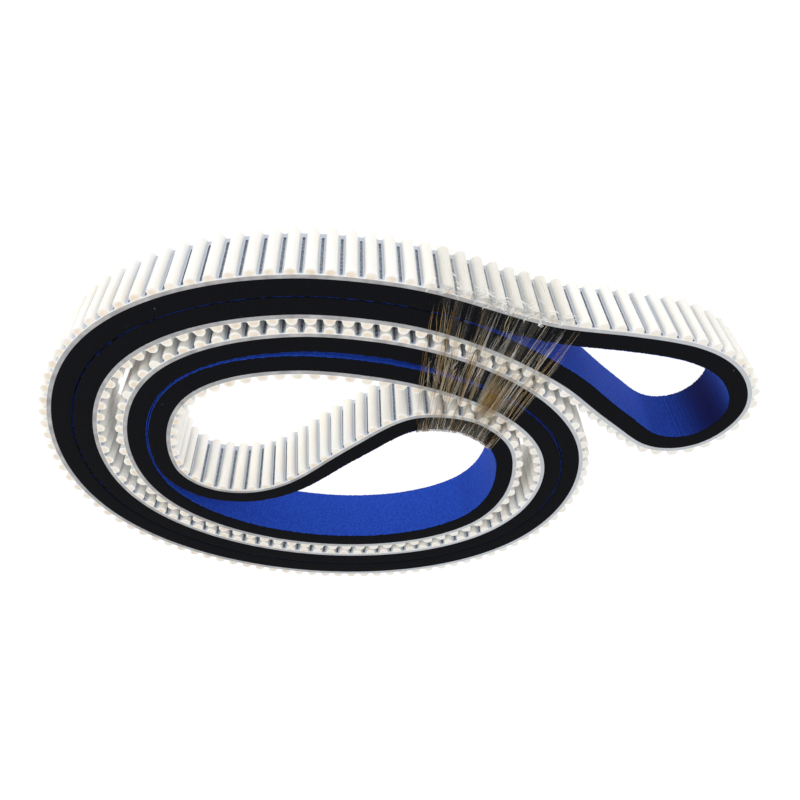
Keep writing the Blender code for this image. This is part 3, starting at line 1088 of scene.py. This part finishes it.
@dataclass
class SoftBacking:
    """The sponge and its knitted facing, with the fibres that stand out of the cut facing."""

    course: Course
    sponge_low: float = -9.92
    sponge_high: float = -1.52
    facing_low: float = -10.30
    facing_high: float = -9.94
    facing_inset: float = 0.25
    sunk_in_outer_turn: float = 0.55
    rim_closes: tuple[float, float] = (0.12, 0.20)
    hidden: tuple[tuple[int, float], ...] = (
        (-110, 1.0), (138, 1.0), (165, 0.5), (235, 0.5), (258, 0.0))
    sponge_rows: int = 5
    facing_cuts: tuple[int, int] = (10, 6)
    edge_bevel: float = 0.22
    face_wander: float = 0.10
    line_wander: float = 0.16
    pucker_from: float = 0.014
    pucker_full: float = 0.034
    pucker_depth: float = 0.30
    # reach and strength of the painted navy shade in the two tight loops, and of the painted shade
    # along the facing's hidden cut edge
    loop_shade_spread: float = 24.0
    loop_shade_inside: float = 0.32
    hidden_edge_shade: float = 0.30
    fibre_spacing: float = 0.8
    fibre_length: float = 0.75
    fibre_radius: float = 0.05
    fibre_root: float = 0.5

    def roughen(self, along: Array, offset: Array, height: Array) -> tuple[Array, Array, Array]:
        """Let the cut faces and corners of the sponge wander a little, as a blade leaves them."""
        size, turn = self.course.section, self.course.length
        across = (offset - self.sponge_low) / (self.sponge_high - self.sponge_low)
        cut = np.where(height > size.width / 2, 1.0, -1.0)
        seed = np.where(height > size.width / 2, 3.0, 40.0)
        wave = ripple(along + 9.0 * across + seed, Seed.SPONGE_FACE, 2.0, 16.0, turn)
        swell = 0.12 * np.sin(math.pi * np.clip(across, 0, 1))
        rim = np.minimum(height, size.width - height) < 0.4
        height = height + rim * cut * (swell - 0.10 + self.face_wander * wave * 0.5)
        inner = rim * (across < 0.05)
        wander = self.line_wander * ripple(along, Seed.SPONGE_LINE, 1.5, 9.0, turn)
        closed = self.rim_closes[0] + self.rim_closes[1] * self.hidden_share(along)
        return along, offset + inner * (wander - closed), height

    def puckers(self, along: Array) -> tuple[Array, Array]:
        """Share of puckering at each place and the puckers' own wave.

        Args:
            along: distances round the belt.

        Returns:
            How strongly the facing is squeezed, 0 to 1, and the wave, 0 at a fold's bottom.
        """
        bend = self.course.look_up(self.course.bend, along)
        span = self.pucker_full - self.pucker_from
        squeeze = np.clip((bend - self.pucker_from) / span, 0.0, 1.0)
        squeeze = squeeze * squeeze * (3 - 2 * squeeze)
        wave = ripple(along, Seed.PUCKERS, 1.7, 5.0, self.course.length)
        return squeeze, np.clip(0.5 + 0.7 * wave, 0.0, 1.0)

    def hidden_share(self, along: Array) -> Array:
        """How far the facing's cut edge is hidden between two sponges that press on each other.

        Args:
            along: distances round the belt.

        Returns:
            The shares: 1 in the outermost turn, less in the inner one, and 0 in both loops.
        """
        course = self.course
        step = course.station_step
        strands = []
        for ends in (course.outer_strand, course.inner_strand):
            angles = np.linspace(ends[0], ends[1], abs(ends[1] - ends[0]) // step + 1)
            strands.append(np.interp(angles, *zip(*self.hidden)))
        gap = course.inner_strand_start - course.inner_fold_start
        table = np.concatenate([strands[0], np.zeros(gap), strands[1]])
        table = np.concatenate([table, np.zeros(len(course.knot_at) - len(table)), table[:1]])
        places = np.append(course.knot_at, course.length)
        return np.interp(np.mod(along, course.length), places, table)

    def crumple(self, along: Array, offset: Array, height: Array) -> tuple[Array, Array, Array]:
        """Pucker the facing where the belt bends tightly with the facing inside."""
        turn = self.course.length
        squeeze, wave = self.puckers(along + 0.05 * (height - self.course.section.width / 2))
        face = offset < (self.facing_low + self.facing_high) / 2
        lifted = offset - face * squeeze * self.pucker_depth * wave
        rim = np.minimum(height, self.course.section.width - height) < 1.0
        side = np.where(height > self.course.section.width / 2, 1.0, -1.0)
        sunk = self.sunk_in_outer_turn * self.hidden_share(along)
        wander = 0.22 * ripple(along, Seed.FACING_EDGE, 1.2, 60.0, turn) - 0.12 - sunk
        height = height + rim * side * wander
        return along, lifted, height

    def build(self) -> None:
        """Model, wind and dress the sponge, the facing and its loose fibres."""
        size = self.course.section
        sponge = straight_bar("sponge", size, self.sponge_low, self.sponge_high, 0.0)
        cut_across(sponge, 0, size.bends_at, everywhere)
        rows = np.linspace(self.sponge_low, self.sponge_high, self.sponge_rows + 1)[1:-1]
        cut_across(sponge, 2, rows, size.at_side)
        pick(sponge, "EDGE", lambda spot: size.at_side(spot)
             and not self.sponge_low + CLOSE <= spot.z <= self.sponge_high - CLOSE)
        bpy.ops.mesh.bevel(offset=self.edge_bevel * MM, segments=2, affect="EDGES")
        wind(sponge, self.course, self.roughen)
        smooth(sponge, 50.0)
        dress(sponge, SpongeRubber().material(), "sponge", "sponge_backing")
        facing = straight_bar("facing", size, self.facing_low, self.facing_high,
                              self.facing_inset)
        long, wide = self.facing_cuts
        cut_across(facing, 0, np.arange(1, long) * size.pitch / long, everywhere)
        cut_across(facing, 1, np.arange(1, wide) * size.width / wide,
                   lambda spot: spot.z < self.facing_low + CLOSE)
        wind(facing, self.course, self.crumple)
        smooth(facing, 60.0)
        material = KnitNylon().material()
        self.keep_crush(facing)
        dress(facing, material, "fabric", "cover_fabric")
        fringe = self.fringe()
        dress(fringe, material, "fabric")

    def keep_crush(self, facing: Piece) -> None:
        """Store the painted shade of each place of the facing: navy in the two tight loops, darker
        in the puckers' folds, and darker where its cut edge is hidden between two sponges.
        """
        mesh = facing.data
        along = np.zeros(len(mesh.vertices))
        spots = np.zeros(len(mesh.loops) * 2)
        mesh.uv_layers["belt"].data.foreach_get("uv", spots)
        along[read_corners(mesh)] = spots.reshape(-1, 2)[:, 0]
        squeeze, wave = self.puckers(along)
        knots = self.course.knot_at
        outer_end = knots[-1 - len(self.course.outer_fold) // 2]
        inner_end = knots[self.course.inner_fold_start + 2]
        # painted shade: nearly navy in the tight outer loop, less in the inner loop, darker in the
        # puckers' folds, most at a fold's bottom, and darker where the cut edge is hidden
        loop_shade = np.exp(-((along - outer_end) / self.loop_shade_spread) ** 2)
        spot = np.exp(-((along - inner_end) / self.loop_shade_spread) ** 2)
        loop_shade = loop_shade + self.loop_shade_inside * spot
        crush = 0.95 * loop_shade + squeeze * (0.04 + 0.45 * np.clip(1 - loop_shade, 0, 1) * (0.9 - wave))
        hidden = self.hidden_edge_shade * self.hidden_share(along)
        crush = np.clip(np.maximum(crush, hidden), 0, 1)
        keep(mesh, crush=crush)

    def fringe(self) -> Piece:
        """Short fibres that stand out of both cut edges of the facing."""
        clear_selection()
        bpy.ops.mesh.primitive_cone_add(vertices=3, radius1=1.0, depth=1.0,
                                        location=(0.0, 0.0, 0.5))
        verts, faces = read_unit(start_piece("fibre"))
        draw = np.random.default_rng(Seed.FIBRES.value)
        size = self.course.section
        copies = []
        for side in Side:
            count = int(self.course.length / self.fibre_spacing)
            along = (np.arange(count) + draw.uniform(0, 1, count)) * self.fibre_spacing
            offset = draw.uniform(self.facing_low, self.facing_high, count)
            root = size.width / 2 + side.value * (size.width / 2 - self.fibre_root)
            reach = draw.uniform(0.3, 1.0, count) * self.fibre_length
            slant = draw.normal(0, 0.35, (count, 2))
            base = np.stack([along, offset, np.full(count, root)], axis=1)
            way = np.stack([slant[:, 0], slant[:, 1] - 0.15, np.full(count, side.value)], axis=1)
            thick = np.array([self.fibre_radius, self.fibre_radius, 0.0])
            copy = base[:, None] + verts * thick + verts[:, 2:] * (way * reach[:, None])[:, None]
            copy[:, :, 2] = np.clip(copy[:, :, 2], -0.05, None)
            copies.append(copy)
        flat = np.concatenate(copies)
        rows = flat.reshape(-1, 3)
        placed = self.course.place(rows[:, 0], rows[:, 1], rows[:, 2]).reshape(flat.shape)
        piece = mesh_of_copies("facing_fibres", placed, faces)
        keep_coordinates(piece.data, rows[:, 0], rows[:, 2], rows[:, 1])
        return piece


@dataclass
class BindingFilm:
    """Stretch film wound round five strands, with its pulled strings and crushed rims."""

    course: Course
    top: float = 31.05
    bottom: float = 0.15
    lowest: float = 0.02
    highest: float = 32.1
    stand_off: float = 0.35
    corner: float = 1.2
    across_steps: int = 170
    top_rows: int = 70
    face_rows: int = 26
    under_rows: int = 12
    corner_rows: int = 5
    sheet_wrinkle: float = 0.22
    tooth_sag: float = 0.9
    width: float = 75.0
    map_width: float = 80.0
    map_row: float = 1.2
    period: float = 400.0
    string_steps: int = 22
    stained_patch: tuple[float, float, float, float] = (0.33, 0.10, 0.68, 0.13)
    bundle_count: int = 66
    bundle_tones: tuple[float, ...] = (0.26, 0.36, 0.45, 0.54, 0.62, 0.84)
    bundle_size: tuple[int, int] = (2, 8)
    bundle_spread: float = 0.009
    begins: tuple[float, float] = (-0.03, 0.30)
    stops: tuple[float, float] = (0.74, 1.12)
    odd_share: float = 0.30
    short_length: tuple[float, float] = (0.20, 0.45)
    late_start: float = 0.42
    shortest: float = 0.08
    drift: float = 0.030
    string_radii: tuple[float, float] = (0.04, 0.15)
    # the crinkles are white strings: painted glints along the teeth's top edge
    crinkle_glint_radii: tuple[float, float] = (0.12, 0.62)
    rim_radii: tuple[float, float] = (0.08, 0.30)
    crinkle_glint_count: int = 260
    rim_count: int = 190
    # the nearly black rim strings are painted shade of the crushed film and the white one a
    # painted glint; the straw tones are the film's own tint
    rim_tones: tuple[float, ...] = (0.0, 0.04, 0.36, 0.55, 0.85, 1.0)

    def spans(self, share: Array) -> tuple[Array, Array]:
        """Outer and inner points in plan, millimetres, for shares across the film's width."""
        outside, inside = self.course.film_ends()
        size = self.course.section
        out_along = outside[0] + share * (outside[1] - outside[0])
        in_along = inside[0] + share * (inside[1] - inside[0])
        sag = 0.5 - 0.5 * np.cos(2 * math.pi * (out_along - self.course.phase) / self.course.pitch)
        outer = self.course.plan(out_along, size.tooth_tip + self.stand_off - self.tooth_sag * sag)
        inner = self.course.plan(in_along, -size.belt_back - self.stand_off)
        return outer, inner

    def ring(self) -> tuple[Array, Array, Array]:
        """The wrap's section: places across the strands, heights, and outward directions.

        Returns:
            Rows of a share of the span and millimetres to add, rows of heights, and rows of
            outward directions (across, up).
        """
        bend, low, high = self.corner, self.bottom + self.corner, self.top - self.corner

        def arc(share: float, side: float, middle: float, first: float) -> list[tuple]:
            """Rows of one rounded corner."""
            angles = [first - step / self.corner_rows * math.pi / 2
                      for step in range(1, self.corner_rows)]
            ways = [(math.cos(angle), math.sin(angle)) for angle in angles]
            return [(share, side * bend + bend * x, middle + bend * y, x, y) for x, y in ways]

        table = [(0.0, 0.0, z, -1.0, 0.0) for z in np.linspace(low, high, self.face_rows)]
        table += arc(0.0, 1.0, high, math.pi)
        table += [(share, bend * (1 - 2 * share), self.top, 0.0, 1.0)
                  for share in np.linspace(0, 1, self.top_rows)]
        table += arc(1.0, -1.0, high, math.pi / 2)
        table += [(1.0, 0.0, z, 1.0, 0.0) for z in np.linspace(high, low, self.face_rows)]
        table += arc(1.0, -1.0, low, 0.0)
        table += [(share, bend * (1 - 2 * share), self.bottom, 0.0, -1.0)
                  for share in np.linspace(1, 0, self.under_rows)]
        rows = np.array(table + arc(0.0, 1.0, low, -math.pi / 2))
        return rows[:, :2], rows[:, 2], rows[:, 3:]

    def surface(self, share: Array, rows: Array, lift: Array) -> Array:
        """Places on the wrap.

        Args:
            share: place across the film's width, 0 to 1.
            rows: place round the wrap, as a row number that may fall between two rows.
            lift: distance outwards from it, millimetres.

        Returns:
            Rows of coordinates in millimetres.
        """
        spread, heights, outward = self.ring()
        number = np.arange(len(heights))
        part = np.interp(rows, number, spread[:, 0])
        extra = np.interp(rows, number, spread[:, 1])
        height = np.interp(rows, number, heights)
        way = np.stack([np.interp(rows, number, outward[:, k]) for k in (0, 1)], axis=-1)
        outer, inner = self.spans(share)
        ahead = inner - outer
        ahead = ahead / np.linalg.norm(ahead, axis=-1, keepdims=True)
        spot = outer + part[..., None] * (inner - outer)
        spot = spot + (extra + way[..., 0] * lift)[..., None] * ahead
        level = np.clip(height + way[..., 1] * lift, self.lowest, self.highest)
        return np.concatenate([spot, level[..., None]], axis=-1)

    def gathered(self, rows: Array) -> Array:
        """How bunched the film is at each row: most where it turns down inside the coil."""
        inner_rim = self.face_rows + 2 * (self.corner_rows - 1) + self.top_rows
        return np.exp(-((rows - inner_rim) / 9.0) ** 2)

    def build_sheet(self) -> Piece:
        """Model the film itself from a flat grid, draped round the strands and wrinkled."""
        spread, heights, _ = self.ring()
        turns = len(heights)
        clear_selection()
        bpy.ops.mesh.primitive_grid_add(x_subdivisions=self.across_steps,
                                        y_subdivisions=turns, size=1)
        piece = start_piece("binding_film_sheet")
        mesh = piece.data
        flat = read_vertices(mesh) + 0.5
        share, rows = np.clip(flat[:, 0], 0, 1), np.clip(flat[:, 1], 0, 1) * (turns - 1)
        slant = share * self.map_width + 0.02 * rows
        fine = np.abs(ripple(slant, Seed.FILM_FINE, 1.3, 6.0, self.period))
        broad = ripple(slant * 0.7 + rows * 0.11, Seed.FILM_BROAD, 3.0, 20.0, self.period)
        knot = ripple(slant * 1.5 + rows * 0.9, Seed.FILM_KNOTS, 1.0, 5.0, self.period)
        bunch = self.gathered(rows)
        lift = self.sheet_wrinkle * (fine + 0.6 * broad) + 0.9 * bunch * (fine + 0.5 * knot)
        face = np.clip((self.face_rows - rows) / 4.0, 0, 1) * np.clip(rows / 4.0, 0, 1)
        lift = lift + 0.18 * face * knot
        spots = self.surface(share, rows, np.maximum(lift, -0.12))
        mesh.vertices.foreach_set("co", (spots * MM).ravel())
        self.keep_cover(mesh, share, rows, bunch)
        weld(piece, 2e-6)
        smooth(piece, 80.0)
        return piece

    def keep_cover(self, mesh: bpy.types.Mesh, share: Array, rows: Array, bunch: Array) -> None:
        """Store how thick the haze is, where the film is stained, the painted shade where it is
        crumpled along the teeth's top edge, and its UV map.
        """
        haze = ripple(share * self.map_width + rows * 0.05, Seed.FILM_HAZE, 5.0, 30.0, self.period)
        on_teeth = np.clip((self.face_rows + 3 - rows) / 3.0, 0, 1)
        cover = 0.05 * np.clip(haze, 0, 1) + 0.14 * bunch + 0.17 * on_teeth
        first_top = self.face_rows + self.corner_rows - 1
        down = (rows - first_top) / self.top_rows
        across, wide, along, long = self.stained_patch
        patch = np.exp(-((share - across) / wide) ** 4 - ((down - along) / long) ** 4)
        # painted shade: the crumpled film along the teeth's top edge is painted denser and
        # browner, darker round the white glints
        crumple_shade = np.exp(-((rows - first_top + 1.0) / 2.5) ** 2) * (0.5 + 0.5 * haze)
        cover = cover + 0.34 * np.clip(crumple_shade, 0, 1)
        border = np.clip(share / 0.16, 0, 1) * np.clip((1 - share) / 0.05, 0, 1)
        cover = np.clip(cover + 0.50 * patch, 0, 1) - 0.5 * (1 - border)
        stain = np.clip(patch + 0.25 * np.clip(haze, 0, 1) * (1 - on_teeth), 0, 1)
        stain = np.maximum(stain, 0.30 * np.clip(crumple_shade, 0, 1))
        keep(mesh, cover=cover, stain=stain)
        keep_map(mesh, "wrap", np.column_stack([share * self.map_width, rows * self.map_row]))

    def model_string(self) -> tuple[Array, list[tuple[int, ...]]]:
        """Model one straight string: four-sided, pointed at both ends, along X from 0 to 1."""
        clear_selection()
        bpy.ops.mesh.primitive_cylinder_add(vertices=4, radius=1.0, depth=1.0,
                                            location=(0.5, 0.0, 0.0),
                                            rotation=(0.0, math.pi / 2, 0.0))
        piece = start_piece("string")
        open_piece(piece)
        places = np.arange(1, self.string_steps) / self.string_steps / MM
        cut_across(piece, 0, places, everywhere)
        bpy.ops.object.mode_set(mode="OBJECT")
        return read_unit(piece)

    def strings(self, name: str, starts: Array, ends: Array, wander: Array, radii: Array,
                tints: Array, rise: Array) -> Piece:
        """Lay many strings on the wrap.

        Args:
            name: name of the piece.
            starts: share across and row where each string starts.
            ends: share across and row where each ends.
            wander: how far each one wanders sideways, as a share of the film's width.
            radii: half width of each, millimetres.
            tints: tint of each, 0 to 1.
            rise: how far each stands off the wrap.

        Returns:
            The piece.
        """
        verts, faces = self.model_string()
        t = verts[:, 0]
        count = len(starts)
        draw = np.random.default_rng(Seed.STRING_SWAY.value)
        phase = draw.uniform(0, 2 * math.pi, (count, 2))
        waves = draw.uniform(0.6, 2.4, (count, 2))
        sway = np.sin(2 * math.pi * waves[:, :1] * t + phase[:, :1])
        sway = sway + 0.5 * np.sin(4 * math.pi * waves[:, 1:] * t + phase[:, 1:])
        taper = np.sqrt(np.clip(np.sin(math.pi * np.clip(t, 0.002, 0.998)), 0, 1))
        share = starts[:, :1] + (ends[:, :1] - starts[:, :1]) * t + wander[:, None] * sway
        rows = starts[:, 1:] + (ends[:, 1:] - starts[:, 1:]) * t
        width = radii[:, None] * taper
        pulse = 0.75 + 0.25 * np.sin(9.0 * t + 3.0 * phase[:, :1])
        share = share + verts[:, 1] * width * pulse / self.width
        lift = rise[:, None] + verts[:, 2] * width * 0.7
        spots = self.surface(np.clip(share, -0.03, 1.03), rows, lift) * MM
        return mesh_of_copies(name, spots, faces, tints)

    def lay_bundles(self, draw: np.random.Generator, top: int) -> Piece:
        """Lay the long pulled strings over the top, in bundles with clear film between them.

        Args:
            draw: the source of the irregularity.
            top: row at which the film turns on to the top.

        Returns:
            The piece.
        """
        starts, ends, wander, radii, tints, rise = [], [], [], [], [], []
        for number in range(self.bundle_count):
            middle = (number + draw.uniform(0.0, 1.0)) / self.bundle_count
            begins = draw.uniform(*self.begins)
            stops = draw.uniform(*self.stops)
            if draw.uniform() < self.odd_share:
                stops = begins + draw.uniform(*self.short_length)
            if draw.uniform() < self.odd_share:
                begins = self.late_start + 0.2 * begins
            drift = draw.normal(0.0, self.drift)
            tone = draw.choice(self.bundle_tones)
            for _ in range(draw.integers(*self.bundle_size)):
                across = middle + draw.normal(0.0, self.bundle_spread)
                first = begins + draw.uniform(-0.04, 0.12)
                last = max(stops + draw.uniform(-0.12, 0.08), first + self.shortest)
                starts.append((across, top + first * self.top_rows))
                ends.append((across + drift + draw.normal(0.0, 0.014),
                             top + last * self.top_rows))
                wander.append(draw.uniform(0.0005, 0.0045))
                radii.append(draw.uniform(*self.string_radii))
                tints.append(np.clip(tone + draw.normal(0.0, 0.10), 0, 1))
                rise.append(draw.uniform(0.12, 0.45))
        return self.strings("film_strings", np.array(starts), np.array(ends), np.array(wander),
                            np.array(radii), np.array(tints), np.array(rise))

    def build_strings(self) -> list[Piece]:
        """Lay the pulled strings, the white crinkles on the teeth, which are painted glints, and
        the crushed rim, whose darkest and whitest strings are painted shade and painted glints.
        """
        draw = np.random.default_rng(Seed.STRINGS.value)
        top = self.face_rows + self.corner_rows - 1
        inner = top + self.top_rows + self.corner_rows - 1
        pieces = [self.lay_bundles(draw, top)]
        count = self.crinkle_glint_count
        across = draw.uniform(0.10, 1.0, count)
        start = top - draw.gamma(1.3, 2.2, count) + 1.4
        drift = draw.normal(0.0, 0.045, count)
        pieces.append(self.strings(
            "film_crinkle_glints", np.column_stack([across, start]),
            np.column_stack([across + drift, start + draw.normal(0, 1.6, count)]),
            draw.uniform(0.002, 0.012, count), draw.uniform(*self.crinkle_glint_radii, count),
            # white tints: the crinkles are painted glints
            draw.uniform(0.92, 1.0, count), draw.uniform(0.2, 0.8, count)))
        count = self.rim_count
        across = draw.uniform(0.0, 1.0, count)
        start = inner - draw.uniform(1, 12, count)
        pieces.append(self.strings(
            "film_rim_strings", np.column_stack([across, start]),
            np.column_stack([across + draw.normal(0.0, 0.03, count),
                             inner + draw.uniform(1, 14, count)]),
            draw.uniform(0.001, 0.008, count), draw.uniform(*self.rim_radii, count),
            # nearly black and white tints: painted shade and painted glints of the crushed film
            draw.choice(self.rim_tones, count),
            draw.uniform(0.2, 0.8, count)))
        return pieces

    def build(self) -> None:
        """Model and dress the film and its strings."""
        sheet = self.build_sheet()
        dress(sheet, StretchFilm().material(), "film", "binding_film")
        strings = self.build_strings()
        material = FilmCrease().material()
        for piece in strings:
            dress(piece, material, "film")
        outside, _ = self.course.film_ends()
        outer, inner = self.spans(np.array([0.5]))


@dataclass
class Studio:
    """White floor, soft lights and the camera that looks down at the coil."""

    eye: tuple[float, float, float] = (0.0, -0.2705, 0.2623)
    pitch_down: float = math.radians(45.03)
    roll: float = math.radians(176.54)
    lens: float = 31.39
    floor_size: float = 6.0
    room_light: float = 0.57

    def camera(self) -> None:
        """Place the camera. It is held upside down, with the near side at the top."""
        data = bpy.data.cameras.new("camera")
        data.lens = self.lens
        data.sensor_width = 36.0
        data.clip_start = 0.01
        ahead = Vector((0.0, math.cos(self.pitch_down), -math.sin(self.pitch_down)))
        level = Vector((1.0, 0.0, 0.0))
        upright = level.cross(ahead)
        right = math.cos(self.roll) * level + math.sin(self.roll) * upright
        up = -math.sin(self.roll) * level + math.cos(self.roll) * upright
        turned = Matrix((right, up, -ahead)).transposed().to_4x4()
        item = bpy.data.objects.new("camera", data)
        item.matrix_world = Matrix.Translation(self.eye) @ turned
        bpy.context.scene.collection.objects.link(item)
        bpy.context.scene.camera = item

    def light(self, name: str, place: tuple[float, float, float], size: float,
              power: float) -> None:
        """Add one soft light that faces the coil.

        Args:
            name: its name.
            place: where it hangs, metres.
            size: side of its square, metres.
            power: watts.
        """
        data = bpy.data.lights.new(name, "AREA")
        data.size = size
        data.energy = power
        item = bpy.data.objects.new(name, data)
        aim = (-Vector(place)).to_track_quat("-Z", "Y").to_matrix().to_4x4()
        item.matrix_world = Matrix.Translation(place) @ aim
        bpy.context.scene.collection.objects.link(item)

    def build(self) -> None:
        """Set up the floor, the surrounding white, the lights and the camera."""
        clear_selection()
        bpy.ops.mesh.primitive_plane_add(size=self.floor_size, location=(0.0, 0.0, -0.0002))
        floor = start_piece("floor")
        paper, _, shader = new_material("studio_paper")
        shader.inputs["Base Color"].default_value = linear("#7A7A7A")
        shader.inputs["Roughness"].default_value = 0.9
        shader.inputs["Specular IOR Level"].default_value = 0.1
        shader.inputs["Emission Color"].default_value = linear("#FFFFFF")
        shader.inputs["Emission Strength"].default_value = 0.93
        floor.data.materials.append(paper)
        world = bpy.data.worlds.new("white_room")
        world.use_nodes = True
        fill(world.node_tree.nodes["Background"],
             {"Color": "#FFFFFF", "Strength": self.room_light})
        bpy.context.scene.world = world
        bpy.context.scene.view_settings.view_transform = "Standard"
        self.light("key_light", (0.75, -0.6, 0.8), 0.6, 6.5)
        self.light("fill_light", (-0.7, -0.6, 0.9), 1.0, 5.0)
        self.camera()


def main() -> None:
    """Build every sub-assembly in order, place the studio round it and log the pitch line's length
    and tooth count.
    """
    logging.basicConfig(level=logging.INFO, format="%(name)s: %(message)s")
    course = Course(Section())
    LOG.info("pitch line %.2f mm, %d teeth", course.length, course.teeth)
    Studio().build()
    for assembly in (MouldedBody(course), TensionCords(course), SoftBacking(course),
                     BindingFilm(course)):
        assembly.build()


if __name__ == "__main__":
    main()
